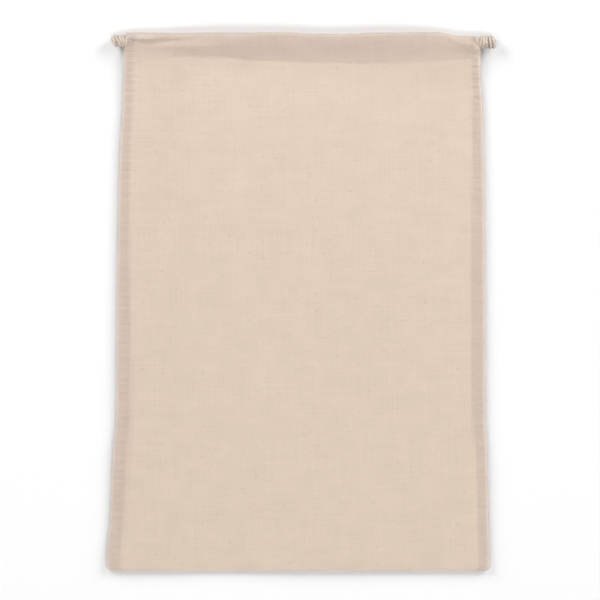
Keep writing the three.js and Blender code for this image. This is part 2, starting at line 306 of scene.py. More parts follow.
# How those strips look: softness of the inner edge, strength at the side of the bag and gain further in, and
# where that gain starts and how far it runs, as a length and as a share of the strip; the weaker strength at
# the side paints a highlight on the turned edge, and the gain paints shade along the inner edge
SEAMS = {
    "left": Seam("left", 4.4, 0.56, 0.37, 0, 0, 0.7),
    "right": Seam("right", 1.4, 0.25, 0.6, 0.5, 4, 0),
}

# Soft troughs in the front
CREASES = [
    Crease(-113, 296, -21, 268, 0.7, 11),
    Crease(-138, 255, 142, 256, 0.4, 12),
    Crease(96, 352, 142, 318, 0.6, 12),
    Crease(17, 85, 96, 106, 0.6, 11),
    Crease(-62, 43, -21, 47, 0.5, 11),
]

# Folds that gather on the knots, ridges with a negative depth
CORNER_FOLDS = [
    Crease(-145, 448, -132, 442.4, 0.9, 1.4),
    Crease(-130, 441.9, -98, 443.6, 1.1, 2.2),
    Crease(122, 448, 140, 442.5, -0.65, 2.2),
    Crease(127, 442.6, 142, 439.6, 0.45, 1.8),
    Crease(137, 446.6, 141.2, 442.2, 0.5, 1.1),
    Crease(144.6, 448, 149.4, 438.8, 1.8, 0.95),
    Crease(141.4, 448, 145.5, 431, -0.7, 1.4),
    Crease(134, 437, 142, 424, 0.3, 2.8),
]

# Slow swell of the front, and the small gathers along the mouth
SWELL = [Wave(210, 330, 0.4, 0.35), Wave(-140, 190, 1.9, 0.25), Wave(95, -160, 3.1, 0.15)]
GATHERS = [Wave(31, 400, 0.7, 0.16), Wave(17.5, -300, 2.2, 0.12), Wave(11.3, 350, 4.4, 0.07)]

# Puckers that the side seams draw in the cloth; the last column paints light on their ridges and shade in
# their troughs
PUCKERS = {
    "left": Pucker("left", 6.3, 0.22, 6.4, 4, 0.26),
    "right": Pucker("right", 7.4, 0.36, 4.6, 3.2, 0.28),
}

# Ripples of the puckers, and the drift that makes their pitch uneven up the bag
PUCKER_RIPPLES = [Ripple(0.7, 1, 0), Ripple(0.5, 1.7, 1)]
PUCKER_DRIFT = [Ripple(3.2, 1 / 11, 0), Ripple(0.9, 1 / 41, 1)]

# How strongly each side seam draws the cloth, up the bag
PULLS = [
    Pull(0, 0, 0),
    Pull(22, 0.6, 0.2),
    Pull(50, 0.9, 0.4),
    Pull(90, 1, 0.55),
    Pull(115, 0.4, 0.6),
    Pull(155, 0.8, 0.45),
    Pull(190, 0.6, 0.3),
    Pull(230, 0.8, 0.55),
    Pull(265, 0.3, 0.25),
    Pull(305, 0.5, 0.35),
    Pull(330, 0.7, 0.25),
    Pull(355, 0.4, 0.4),
    Pull(400, 0.9, 1),
    Pull(424, 0.8, 0.9),
    Pull(446, 0, 0),
]

# The knots: height of the middle, where each starts and ends, how far it sinks on the way, and its lean
KNOTS = {
    "left": Knot(443, -143.6, -157, -0.9, 1.5),
    "right": Knot(444.6, 149.5, 163.4, -0.3, 0.9),
}

# How far apart a cord's two ends lie at their trimmed tips, in the knot and at the casing
END_SPREADS = [Spread(1.35, 0.2), Spread(0.4, 0.8), Spread(0, 1.5)]

# How far along its knot the cord has come, how far out it lies and how it leans, as it goes round the ends
WRAPS = [
    Wrap(0, 0, 0.84, -0.4),
    Wrap(0.5, 0, 0.96, -0.4),
    Wrap(1.5, 0.19, 1.03, 0.3),
    Wrap(2.5, 0.37, 0.95, 0.5),
    Wrap(3.5, 0.6, 1.04, 1.3),
    Wrap(4.5, 0.84, 0.97, 0.8),
    Wrap(5, 0.84, 0.8, 0.8),
]

# Noise over the cloth and the cords: its size each way in metres, its detail and its place
WANDER = Grain(0.006, 0.006, 1.0, 3.0)
WARP_STREAK = Grain(0.0011, 0.06, 2.0, 7.0)
WEFT_STREAK = Grain(0.05, 0.0012, 2.0, 11.0)
PATCHES = Grain(0.02, 0.014, 3.0, 17.0)
WARP_DASH = Grain(0.0012, 0.0034, 1.0, 23.0)
WEFT_DASH = Grain(0.0036, 0.0012, 1.0, 29.0)
HUSKS = Grain(0.0056, 0.0037, 0.0, 41.0)
FUZZ = Grain(0.15, 0.0006, 3.0, 5.0)
GRAIN_SLANT = 0.7

# Finish of the cloth
WARP_WANDER = 0.9
WEFT_WANDER = 0.7
THREAD_MEAN = 0.55
THREAD_SWING = 0.45
DASH_LIMITS = (0.67, 0.8)
HUSK_LIMITS = (0.78, 0.9)
STREAK_TONE = 0.07
PATCH_TONE = 0.1
WEAVE_TONE = 0.045
DASH_SHARE = 0.17
HUSK_SHARE = 0.2
WEAVE_RELIEF = 0.55
DASH_RELIEF = 0.4
STREAK_RELIEF = 0.3
CLOTH_ROUGHNESS = 0.86
PATCH_ROUGHNESS = 0.12
CLOTH_SHEEN = 0.1

# Finish of the cords and threads
FIBRES_ROUND = 5
FIBRE_PITCH = 0.0011
FIBRE_TONE = 0.1
FUZZ_TONE = 0.22
FIBRE_RELIEF = 0.6
FUZZ_RELIEF = 0.5
CORD_ROUGHNESS = 0.88
FUZZ_ROUGHNESS = 0.1
CORD_SHEEN = 0.15

# Finish of all the cotton, its relief in metres
RELIEF_DEPTH = 0.00012
SHEEN_ROUGHNESS = 0.45
COTTON_SPECULAR = 0.2

# Soft lamps in metres and watts, aimed at the bag's middle; the key and the fill light the bag alone
LAMPS = [
    Lamp("head_left", -2.1, 1.75, 1.4, 2.2, 59, False),
    Lamp("head_right", 2.1, 1.75, 1.4, 2.2, 59, False),
    Lamp("foot_left", -1.15, -1.15, 2.8, 1.2, 22.5, False),
    Lamp("foot_right", 1.15, -1.15, 2.8, 1.2, 22.5, False),
    Lamp("key", 0, 0.8, 0.7, 0.5, 2.7, True),
    Lamp("fill", 0, -2.4, 0.5, 1, 19, True),
]


class BagSizes(bpy.types.PropertyGroup):
    """Sizes of the cloth, cord and sewing"""

    cloth: bpy.props.FloatProperty(
        name="Cloth",
        description="Thickness of the cotton cloth",
        default=0.0005,
        unit="LENGTH",
        precision=5,
    )
    thread_pitch: bpy.props.FloatProperty(
        name="Weave",
        description="Distance between threads of the weave",
        default=0.00046,
        unit="LENGTH",
        precision=5,
    )
    cord: bpy.props.FloatProperty(
        name="Cord",
        description="Thickness of the drawstrings",
        default=0.0028,
        unit="LENGTH",
        precision=4,
    )
    cord_lay: bpy.props.FloatProperty(
        name="Cord lay",
        description="Length of one turn of the cord's plies",
        default=0.0068,
        unit="LENGTH",
        precision=4,
    )
    plies: bpy.props.IntProperty(
        name="Plies",
        description="Plies twisted into a cord",
        default=3,
        min=2,
        max=5,
    )
    stitch: bpy.props.FloatProperty(
        name="Stitch",
        description="Length of one stitch of the hem",
        default=0.0029,
        unit="LENGTH",
        precision=4,
    )
    thread: bpy.props.FloatProperty(
        name="Thread",
        description="Thickness of the sewing thread",
        default=0.00042,
        unit="LENGTH",
        precision=5,
    )


class BagColours(bpy.types.PropertyGroup):
    """Colours of the bag and the floor"""

    cloth: bpy.props.FloatVectorProperty(
        name="Cloth",
        description="Front over back",
        subtype="COLOR",
        default=(0.532, 0.436, 0.357),
    )
    # Darker tone where hems and seam allowances show through, also used to paint shade below the hem, on the
    # band's slope and creases, and over the last of the roll
    layered_and_shade: bpy.props.FloatVectorProperty(
        name="Layered cloth",
        description="Hems and seam allowances",
        subtype="COLOR",
        default=(0.453, 0.3645, 0.309),
    )
    # Paler, whiter tone painted on as a highlight over the cords and on the turned side and bottom edges
    pale: bpy.props.FloatVectorProperty(
        name="Pale cloth",
        description="Edges and cloth over the cords",
        subtype="COLOR",
        default=(0.575, 0.548, 0.545),
    )
    fleck: bpy.props.FloatVectorProperty(
        name="Flecks",
        description="Specks of seed husk in the yarn",
        subtype="COLOR",
        default=(0.36, 0.27, 0.19),
    )
    cord: bpy.props.FloatVectorProperty(
        name="Cord",
        description="Cotton of the drawstrings",
        subtype="COLOR",
        default=(0.53, 0.453, 0.379),
    )
    thread: bpy.props.FloatVectorProperty(
        name="Thread",
        description="Sewing thread",
        subtype="COLOR",
        default=(0.51, 0.418, 0.345),
    )
    floor: bpy.props.FloatVectorProperty(
        name="Floor",
        description="Pale floor",
        subtype="COLOR",
        default=(0.95, 0.95, 0.95),
    )


class BagStage(bpy.types.PropertyGroup):
    """Camera and lights"""

    view_width: bpy.props.FloatProperty(
        name="View width",
        description="Width of floor that the camera sees",
        default=0.501,
        unit="LENGTH",
    )
    view_centre: bpy.props.FloatProperty(
        name="View centre",
        description="Place of the view's middle up the bag",
        default=0.0017,
        unit="LENGTH",
    )
    camera_height: bpy.props.FloatProperty(
        name="Camera height",
        description="Height of the camera over the floor",
        default=5.0,
        unit="LENGTH",
    )
    dome: bpy.props.FloatProperty(name="Dome", description="Strength of the even light", default=0.195)
    lamps: bpy.props.FloatProperty(name="Lamps", description="Strength of the soft lamps", default=1.0)


# Curves and tables


def ease(share):
    """A share from 0 to 1 with level ends."""
    share = np.clip(share, 0, 1)
    return share * share * (3 - 2 * share)


def hermite(start, end, start_slope, end_slope, share):
    """A cubic from start to end that has the two slopes at its ends."""
    rest = 1 - share
    ends = start * (1 + 2 * share) * rest**2 + end * (3 - 2 * share) * share**2
    return ends + start_slope * share * rest**2 - end_slope * rest * share**2


def read(table, column, at):
    """A table's column anywhere along its first one, as a smooth curve that never passes its rows."""
    places = np.array([row[0] for row in table], float)
    values = np.array([getattr(row, column) for row in table], float)
    gaps = np.diff(places)
    rises = np.diff(values) / gaps
    level = rises[:-1] * rises[1:] <= 0
    slopes = np.concatenate([rises[:1], np.zeros(len(rises) - 1), rises[-1:]])
    both = np.where(level, 1, rises[:-1] + rises[1:])
    slopes[1:-1] = np.where(level, 0, 2 * rises[:-1] * rises[1:] / both)
    step = np.clip(np.searchsorted(places, at, side="right") - 1, 0, len(gaps) - 1)
    share = np.clip((at - places[step]) / gaps[step], 0, 1)
    slope = slopes[step] * gaps[step]
    next_slope = slopes[step + 1] * gaps[step]
    return hermite(values[step], values[step + 1], slope, next_slope, share)


# Form of the bag


def left_edge(height):
    return read(OUTLINE, "left", height)


def right_edge(height):
    return read(OUTLINE, "right", height)


def side_distance(x, height):
    return np.minimum(x - left_edge(height), right_edge(height) - x)


def seam_sides(x, height, rows):
    """The distance in from each side edge, with that side's row."""
    return (x - left_edge(height), rows["left"]), (right_edge(height) - x, rows["right"])


def across_share(x, height):
    left = left_edge(height)
    return np.clip((x - left) / (right_edge(height) - left), 0, 1)


def up_the_bag(x, height):
    """Place along Y of a point of the cloth, with the mouth's edge and hem wandering across the width."""
    across = across_share(x, height)
    top = read(MOUTH_CREEP, "top", across)
    hem = read(MOUTH_CREEP, "hem", across)
    to_hem = ease((height - CREEP_START) / (STITCH_LINE - CREEP_START))
    to_top = ease((height - STITCH_LINE) / (CREEP_END - STITCH_LINE))
    return height - BAG_HEIGHT / 2 + to_hem * hem + to_top * (top - hem)


def fold_depth(folds, x, height):
    """Depth of soft folds at points of the front, deepest in the middle of each."""
    depth = 0
    for fold in folds:
        run = fold.to_x - fold.from_x
        rise = fold.to_height - fold.from_height
        share = ((x - fold.from_x) * run + (height - fold.from_height) * rise) / (run**2 + rise**2)
        share = np.clip(share, 0, 1)
        beside = (x - fold.from_x - share * run) ** 2 + (height - fold.from_height - share * rise) ** 2
        taper = np.sin(math.pi * (FOLD_TAPER + (1 - 2 * FOLD_TAPER) * share))
        depth = depth + fold.depth * taper * np.exp(-beside / fold.half_width**2)
    return depth


def waves(table, x, height):
    rise = 0
    for wave in table:
        rise = rise + wave.height * np.sin(TURN * (x / wave.across + height / wave.along) + wave.shift)
    return rise


def ripple_sum(ripples, phase):
    return sum(ripple.strength * np.sin(ripple.pace * phase + ripple.shift) for ripple in ripples)


def pucker_pull(distance, height, pucker):
    """Ripples beside one side seam, uneven along it: 1 on a strong ridge, less in a trough."""
    phase = TURN * height / pucker.pitch + ripple_sum(PUCKER_DRIFT, height)
    beside = np.exp(-(((distance - pucker.inset) / pucker.reach) ** 2))
    return read(PULLS, pucker.side, height) * beside * ripple_sum(PUCKER_RIPPLES, phase)


def roll_share(casing, x, height):
    """How far a casing stands up over its cords: 0 on the flat band, 1 on the crest."""
    across = across_share(x, height)
    foot = read(casing, "foot", across)
    slack = read(casing, "slack", across)
    taut_rise = ease((height - foot) / (read(casing, "shoulder", across) - foot))
    slack_rise = ease((height - SLACK_FOOT) / (SLACK_SHOULDER - SLACK_FOOT))
    return taut_rise + slack * (slack_rise - taut_rise)


def stitch_dip(x, height):
    """How far the row of stitches draws the front in, not at all where the hem is slack on the left."""
    drawn = ease((across_share(x, height) - SLACK_HEM_END) / SLACK_HEM_SOFT)
    return STITCH_DIP * drawn * stitch_draw(height)


def back_face(x, height):
    """Height over the floor of the back's outer face."""
    return BACK_DIP * stitch_draw(height)


def stitch_draw(height):
    return np.exp(-(((height - STITCH_LINE) / STITCH_HALF_WIDTH) ** 2))


def front_face(x, height):
    """Height over the floor of the front's outer face."""
    crown = ease((side_distance(x, height) - SEAM_STRIP) / SHOULDER)
    seam = read(FRONT, "seam", height)
    middle = read(FRONT, "middle", height)
    face = seam + crown * (middle - seam - fold_depth(CREASES, x, height) + waves(SWELL, x, height))
    face = face + (ROLL - BAND) * roll_share(CASINGS, x, height) - stitch_dip(x, height)
    face = face - fold_depth(CORNER_FOLDS, x, height)
    face = face + ease((height - GATHER_START) / (STITCH_LINE - GATHER_START)) * waves(GATHERS, x, height)
    for distance, pucker in seam_sides(x, height, PUCKERS):
        face = face + pucker.depth * pucker_pull(distance, height, pucker)
    return face


def casing_depth(casing, x, height, cloth):
    """Depth of a casing through both sheets of its cloth."""
    flat = 2 * cloth + LAYER_GAP
    return flat + (ROLL - flat) * roll_share(casing, x, height)


# The cloth


def main_columns():
    """Columns across the bag, each as its share of the way to the right edge and an offset."""
    inner = STRIP_COLUMNS[-1]
    left = [(0, step) for step in STRIP_COLUMNS]
    right = [(1, -step) for step in reversed(STRIP_COLUMNS)]
    shares = np.arange(1, MIDDLE_COLUMNS + 1) / (MIDDLE_COLUMNS + 1)
    middle = [(share, inner * (1 - 2 * share)) for share in shares]
    return np.array(left + middle + right).T


def lay_rows(cloth):
    """The cloth from the back hem's edge, over the mouth, round the bottom fold and up the front to its hem.

    Gives x, height and z of the main columns in each row, which rows run across the whole width, and how far
    the ends of each row are tucked in from the sides: 1 on the hems.
    """
    shares, offsets = main_columns()

    def column_x(height, tuck):
        left = left_edge(height) + tuck * HEM_INSET
        right = right_edge(height) - tuck * HEM_INSET
        return left * (1 - shares) + right * shares + offsets

    across = across_share(column_x(np.full(len(shares), BAND_TOP), 0), BAND_TOP)
    half = cloth / 2
    rows = []
    whole = []
    tucks = []

    def add(height, z_of, everywhere=True, tuck=0.0):
        height = np.broadcast_to(height, shares.shape)
        x = column_x(height, tuck)
        rows.append((x, height, z_of(x, height)))
        whole.append(everywhere)
        tucks.append(tuck)

    def front_outer(x, height):
        return front_face(x, height) - half

    def front_inner(x, height):
        return front_face(x, height) - casing_depth(CASINGS, x, height, cloth) + half

    def back_outer(x, height):
        return half + back_face(x, height)

    def back_inner(x, height):
        return back_outer(x, height) + casing_depth(BACK_CASING, x, height, cloth) - cloth

    def turn_over(casing, outer, inner, angles):
        crest = read(casing, "crest", across) - half
        start = BAG_HEIGHT - half - crest
        for angle in angles:
            share = (1 + math.sin(angle)) / 2
            top = start + crest * math.cos(angle)
            tuck = float(ease(TUCK_PACE * (1 - share) - TUCK_DELAY))
            add(top, lambda x, height: (1 - share) * inner(x, start) + share * outer(x, start), tuck=tuck)

    quarter = math.pi / 2
    back_top = BAG_HEIGHT - read(BACK_CASING, "crest", across)
    front_top = BAG_HEIGHT - read(CASINGS, "crest", across)
    turn = np.linspace(-quarter, quarter, TOP_STEPS + 1)

    for share in np.linspace(0, 1, HEM_ROWS, endpoint=False):
        add(HEM_EDGE + share * (back_top - HEM_EDGE), back_inner, tuck=1.0)
    turn_over(BACK_CASING, back_outer, back_inner, turn)
    for share in np.linspace(1, 0, BACK_CASING_ROWS)[1:]:
        add(CASING_START + share * (back_top - CASING_START), back_outer)

    fold_half = (front_outer(0.0, 0.0) - half) / 2
    fold_centre = fold_half + half
    for height in np.arange(CASING_START - BACK_ROW, fold_centre + BACK_ROW / 2, -BACK_ROW):
        add(height, back_outer)
    for angle in np.linspace(-quarter, quarter, FOLD_STEPS + 1):
        share = (1 + math.sin(angle)) / 2
        height = fold_centre - fold_half * math.cos(angle)
        add(height, lambda x, height: half + share * (front_outer(x, height) - half))

    steps = round((CASING_START - fold_centre) / FINE_ROW)
    for step in range(1, steps):
        height = fold_centre + step * (CASING_START - fold_centre) / steps
        add(height, front_outer, step % COARSE_EVERY == 0)
    for share in np.linspace(0, 1, CASING_ROWS)[:-1]:
        add(CASING_START + share * (front_top - CASING_START), front_outer)
    turn_over(CASINGS, front_outer, front_inner, -turn)
    for share in np.linspace(1, 0, HEM_ROWS + 1)[1:]:
        add(HEM_EDGE + share * (front_top - HEM_EDGE), front_inner, tuck=1.0)

    x, height, z = (np.array(part) for part in zip(*rows))
    return x, height, z, np.array(whole), np.array(tucks)


def turned_edge(y, z, height, tuck, cloth, side):
    """Columns past one side edge: the turn round the edge and the allowance that lies inside.

    They go from the edge inwards, as positions and their places on the flat cloth. A tucked row lies open.
    """
    column = 0 if side == "left" else -1
    outward = -1 if side == "left" else 1
    height = height[:, column]
    edge = (left_edge(height) if side == "left" else right_edge(height)) - outward * tuck * HEM_INSET
    along_y = np.gradient(y[:, column])
    along_z = np.gradient(z[:, column])
    length = np.hypot(along_y, along_z)
    in_y = along_z / length
    in_z = -along_y / length

    to_casing = ease((height - SEAM_END) / (STITCH_LINE - SEAM_END))
    seam_turn = ((read(FRONT, "seam", height) - cloth) / 2 - SEAM_GAP / 2) / 2
    radius = seam_turn + to_casing * (CASING_TURN - seam_turn)
    allowance = SEAM_ALLOWANCE + to_casing * (CASING_ALLOWANCE - SEAM_ALLOWANCE)

    whole_turn = np.maximum(math.pi * (1 - tuck), LEAST_TURN)
    curl = math.pi * radius
    start = radius * (1 - tuck)
    columns = []
    for step in [*range(CURL_STEPS + 1), *(CURL_STEPS + share for share in ALLOWANCE_SHARES)]:
        angle = whole_turn * min(step, CURL_STEPS) / CURL_STEPS
        flat = allowance * max(0, step - CURL_STEPS)
        reach = curl / whole_turn * np.sin(angle) + flat * np.cos(angle) - start
        depth = curl / whole_turn * (1 - np.cos(angle)) + flat * np.sin(angle)
        run = curl * min(step, CURL_STEPS) / CURL_STEPS + flat - start
        columns.append((
            edge + outward * reach,
            y[:, column] + in_y * depth,
            z[:, column] + in_z * depth,
            edge + outward * run,
        ))
    return [np.array(part).T for part in zip(*columns)]


def layers_and_shade_share(x, height):
    """Where extra cloth lies under the face: 1 over a hem, less over a seam allowance, plus painted shade
    below the hem and over the last of the roll, and painted light and shade on the puckers.
    """
    across = across_share(x, height)
    above = height - STITCH_LINE
    shade = read(TINTS, "shade", across)
    band = shade * ease(1 + above / read(TINTS, "reach", across))
    band = band + (read(TINTS, "band", across) - shade) * ease(above / read(TINTS, "edge", across) + 0.5)
    layers_and_shade = band
    for distance, seam in seam_sides(x, height, SEAMS):
        layers_and_shade = np.maximum(layers_and_shade, allowance_share(distance, height, seam))
    for distance, pucker in seam_sides(x, height, PUCKERS):
        # Painted light and shade on the puckers: lighter on their ridges, darker in their troughs
        layers_and_shade = layers_and_shade - pucker.tint * pucker_pull(distance, height, pucker)
    # Painted shade over the last of the roll, where it turns down into the mouth
    return np.clip(layers_and_shade + read(TINTS, "crown", across) * brow(height), 0, MOST_LAYERS_AND_SHADE)


def allowance_share(distance, height, seam):
    """How strongly one seam allowance shows through, at a distance in from its side of the bag, with a
    painted highlight on the turned edge and painted shade along the inner edge.
    """
    width = read(ALLOWANCES, seam.side, height)
    inner = ease((distance - seam.start) / (seam.run + seam.run_share * width))
    return ease((width - distance) / seam.soft + 0.5) * (seam.rim + seam.gain * inner)


def brow(height):
    """The last of the roll, where it turns down into the mouth: 0 below it, 1 at the top."""
    return ease((height - BROW_START) / BROW_SOFT)


def rim(distance):
    """The turn round an edge of the bag: 1 at the edge, 0 a little way in."""
    return ease((RIM_END - distance) / RIM_SOFT)


def painted_highlight_share(x, height):
    """Where a highlight is painted on the cloth in a paler, whiter tone: over the cords, at the sides and
    bottom.
    """
    across = across_share(x, height)
    over_cords = ease((height - read(TINTS, "pale", across)) / read(TINTS, "soft", across))
    crest = PAINTED_HIGHLIGHT_CREST * over_cords * (1 - brow(height))
    below_casing = ease((PAINTED_HIGHLIGHT_SIDES_TOP - height) / PAINTED_HIGHLIGHT_SIDES_SOFT)
    sides = PAINTED_HIGHLIGHT_SIDES * rim(side_distance(x, height)) * below_casing
    return np.maximum(crest, np.maximum(sides, PAINTED_HIGHLIGHT_BOTTOM * rim(height)))


def cloth_faces(index, whole, fine_columns):
    """Faces over the grid: every row beside the seams, and only the whole rows between them."""
    rows, columns = index.shape
    last_fine = fine_columns - 1
    first_fine = columns - fine_columns
    faces = []

    def patch(low, high, column):
        beside = column + 1
        return [index[low, column], index[low, beside], index[high, beside], index[high, column]]

    for row in range(rows - 1):
        for column in [*range(last_fine), *range(first_fine, columns - 1)]:
            faces.append(patch(row, row + 1, column))
    wide = np.flatnonzero(whole)
    for low, high in zip(wide[:-1], wide[1:]):
        for column in range(fine_columns, first_fine - 1):
            faces.append(patch(low, high, column))
        left_steps = [index[row, last_fine] for row in range(high, low, -1)]
        inner_side = [index[low, fine_columns], index[high, fine_columns]]
        faces.append([index[low, last_fine], *inner_side, *left_steps])
        right_steps = [index[row, first_fine] for row in range(low, high + 1)]
        faces.append([index[low, first_fine - 1], *right_steps, index[high, first_fine - 1]])
    return faces


def cloth_sheet(cloth):
    """Points, faces, weave places and tints of the whole cloth, the tints carrying its painted shade and
    painted highlight.
    """
    x, height, z, whole, tuck = lay_rows(cloth)
    y = up_the_bag(x, height)
    left_x, left_y, left_z, left_u = turned_edge(y, z, height, tuck, cloth, "left")
    right_x, right_y, right_z, right_u = turned_edge(y, z, height, tuck, cloth, "right")
    grid = [
        np.hstack([left[:, ::-1], middle, right])
        for left, middle, right in (
            (left_x, x, right_x),
            (left_y, y, right_y),
            (left_z, z, right_z),
            (left_u, x, right_u),
        )
    ]
    turned = left_x.shape[1]
    ends = [np.repeat(height[:, [column]], turned, 1) for column in (0, -1)]
    heights = np.hstack([ends[0], height, ends[1]])
    tints = np.stack([layers_and_shade_share(grid[0], heights), painted_highlight_share(grid[0], heights)], axis=-1)

    middle = x.shape[1] // 2
    steps = np.hypot(np.diff(y[:, middle]), np.diff(z[:, middle]))
    along = np.concatenate([[0], np.cumsum(steps)])
    weave = np.stack([grid[3], np.broadcast_to(along[:, None], grid[3].shape)], axis=-1)

    fine_columns = turned + len(STRIP_COLUMNS)
    used = np.repeat(whole[:, None], grid[0].shape[1], 1)
    used[:, :fine_columns] = True
    used[:, -fine_columns:] = True
    index = np.full(used.shape, -1)
    index[used] = np.arange(used.sum())
    points = np.stack(grid[:3], axis=-1)[used]
    faces = cloth_faces(index, whole, fine_columns)
    return points, faces, weave[used], tints[used]


# Cords and threads


def run_along(line):
    """The length of a line up to each of its points."""
    return np.concatenate([[0], np.cumsum(np.linalg.norm(np.diff(line, axis=0), axis=1))])


def smooth_route(points, spacing):
    """Points at an even spacing along a smooth curve through the given ones."""
    points = np.array(points, float)
    places = run_along(points)
    slopes = np.gradient(points, places, axis=0)
    dense = np.linspace(0, places[-1], DENSE_POINTS * len(points))
    step = np.clip(np.searchsorted(places, dense, side="right") - 1, 0, len(places) - 2)
    gap = (places[step + 1] - places[step])[:, None]
    share = (dense - places[step])[:, None] / gap
    line = hermite(points[step], points[step + 1], slopes[step] * gap, slopes[step + 1] * gap, share)
    length = run_along(line)
    even = np.linspace(0, length[-1], round(length[-1] / spacing) + 1)
    return np.stack([np.interp(even, length, line[:, axis]) for axis in range(3)], axis=1)


def carried_sides(line):
    """Two sideways directions at each point of a line, carried along it without turning."""
    ahead = np.gradient(line, axis=0)
    ahead /= np.linalg.norm(ahead, axis=1)[:, None]
    side = np.cross(ahead[0], SIDE_START)
    sides = []
    for direction in ahead:
        side = side - direction * (side @ direction)
        side = side / np.linalg.norm(side)
        sides.append(side)
    sides = np.array(sides)
    return sides, np.cross(ahead, sides)


class JoinedMesh:
    """Tubes gathered into one mesh, each with its length along it and its way round as a map."""

    def __init__(self):
        self.points = []
        self.faces = []
        self.places = []

    def add_tube(self, line, radius, sides, map_shift=0.0):
        """A tube of a changing radius along a line, closed at both ends."""
        across, up = carried_sides(line)
        radius = np.broadcast_to(radius, len(line))
        length = run_along(line)
        first = len(self.points)
        for point, first_way, second_way, reach, run in zip(line, across, up, radius, length):
            for side in range(sides):
                angle = TURN * side / sides
                way = math.cos(angle) * first_way + math.sin(angle) * second_way
                self.points.append(point + reach * way)
                self.places.append((side / sides + map_shift, run))
        for ring in range(len(line) - 1):
            for side in range(sides):
                here = first + ring * sides
                beside = (side + 1) % sides
                self.faces.append((here + side, here + beside, here + sides + beside, here + sides + side))
        last = first + (len(line) - 1) * sides
        self.faces.append(tuple(first + side for side in reversed(range(sides))))
        self.faces.append(tuple(last + side for side in range(sides)))

    def add_cord(self, line, diameter, lay, plies, sides):
        """A cord of twisted plies along a line."""
        across, up = carried_sides(line)
        ply_radius = diameter * PLY_RADIUS
        reach = diameter / 2 - ply_radius
        length = run_along(line)
        ends = np.minimum(length, length[-1] - length)
        radius = ply_radius * (PLY_END + (1 - PLY_END) * ease(ends / ply_radius))
        for ply in range(plies):
            angle = (TURN * (length / lay + ply / plies))[:, None]
            twisted = line + reach * (np.cos(angle) * across + np.sin(angle) * up)
            self.add_tube(twisted, radius, sides, ply * PLY_SHIFT)


def drawstring_lines(side):
    """The line of one drawstring from end to end, that of its knot's turns, and the heart inside them."""
    knot = KNOTS[side]
    outward = -1 if side == "left" else 1
    height = STRAND[side]
    edges = (left_edge(height), right_edge(height))
    near, far = edges if side == "left" else edges[::-1]
    back_centre = ROLL / 2

    def place(x, at, z):
        return np.stack(np.broadcast_arrays(x, up_the_bag(x, at), z), axis=-1)

    def ends(spread):
        trimmed = knot.end - outward * (END_STAGGER if spread < 0 else 0)
        xs = np.array([trimmed, (knot.start + knot.end) / 2, knot.start - outward * KNOT_LEAD])
        heights = np.array([knot.height + knot.sink, knot.height + knot.sink / 2, height])
        up, over = spread * np.array(END_SPREADS).T
        return place(xs, heights + up, KNOT_CENTRE + over)

    xs = np.linspace(near - outward * CASING_INSET, far + outward * CASING_INSET, STRAND_POINTS)
    heights = read(CASINGS, "lower" if side == "left" else "upper", across_share(xs, height))
    front = place(xs, heights, front_face(xs, heights) - ROLL / 2)
    back = place(xs, np.full_like(xs, height), back_centre)[::-1]

    radius = (front[-1, 2] - back_centre) / 2
    angles = np.linspace(0, math.pi, BEND_STEPS + 1)
    bend_x = xs[-1] - outward * (BEND_LEAD + radius * np.sin(angles))
    bend_height = heights[-1] + (height - heights[-1]) * angles / math.pi
    bend = place(bend_x, bend_height, back_centre + radius * (1 + np.cos(angles)))

    route = np.concatenate([ends(CORE_SPREAD), front, bend, back, ends(-CORE_SPREAD)[::-1]])
    return smooth_route(route, CORD_STEP), *knot_turns(knot, outward, place)


def knot_turns(knot, outward, place):
    """The cord drawn tight round its two ends, uneven and leaning, and the heart that it holds."""
    start = knot.start + outward * cord_diameter() / 2
    turn = np.linspace(0, WRAPS[-1].turn, WRAPS[-1].turn * WRAP_POINTS)
    angle = math.pi + turn * TURN
    share = read(WRAPS, "along", turn)
    radius = WRAP_RADIUS * read(WRAPS, "reach", turn)
    lean = knot.slant * read(WRAPS, "lean", turn)
    x = start + share * (knot.end - start) + lean * np.cos(angle + LEAN_PHASE)
    heights = knot.height + share * knot.sink + radius * np.sin(angle)
    turns = place(x, heights, KNOT_CENTRE + radius * np.cos(angle))
    share = np.linspace(0, WRAPS[-1].along, HEART_POINTS)
    inner = knot.start + outward * HEART_INSET
    heart = place(inner + share * (knot.end - inner), knot.height + share * knot.sink, KNOT_CENTRE)
    return smooth_route(turns, WRAP_STEP), heart


def cord_diameter():
    return bpy.context.scene.bag_sizes.cord / MM


def stitch_lines(face, lift, length):
    """Short threads along the hem, each standing a little out of the cloth and sunk at both ends."""
    left = left_edge(STITCH_LINE) + STITCH_INSET
    right = right_edge(STITCH_LINE) - STITCH_INSET
    count = round((right - left) / (length * STITCH_PITCH))
    along = np.linspace(-1, 1, STITCH_POINTS)
    for step in range(count):
        middle = left + (step + 0.5) * (right - left) / count
        x = middle + length / 2 * along
        rise = lift * (1 - STITCH_SINK * along**4)
        height = np.full_like(x, STITCH_LINE)
        yield np.stack([x, up_the_bag(x, height), face(x, height) + rise], axis=1)


# Materials


class Wire:
    """An output of a node. Sums and products of wires add Math nodes beside it."""

    def __init__(self, finish, socket):
        self.finish = finish
        self.socket = socket

    def math(self, operation, *others):
        values = dict(enumerate((self, *others)))
        return self.finish.node("ShaderNodeMath", {"operation": operation}, values)

    def __add__(self, other):
        return self.math("ADD", other)

    def __radd__(self, other):
        return self.math("ADD", other)

    def __sub__(self, other):
        return self.math("SUBTRACT", other)

    def __rsub__(self, other):
        return self.finish.node("ShaderNodeMath", {"operation": "SUBTRACT"}, {0: other, 1: self})

    def __mul__(self, other):
        return self.math("MULTIPLY", other)

    def __rmul__(self, other):
        return self.math("MULTIPLY", other)


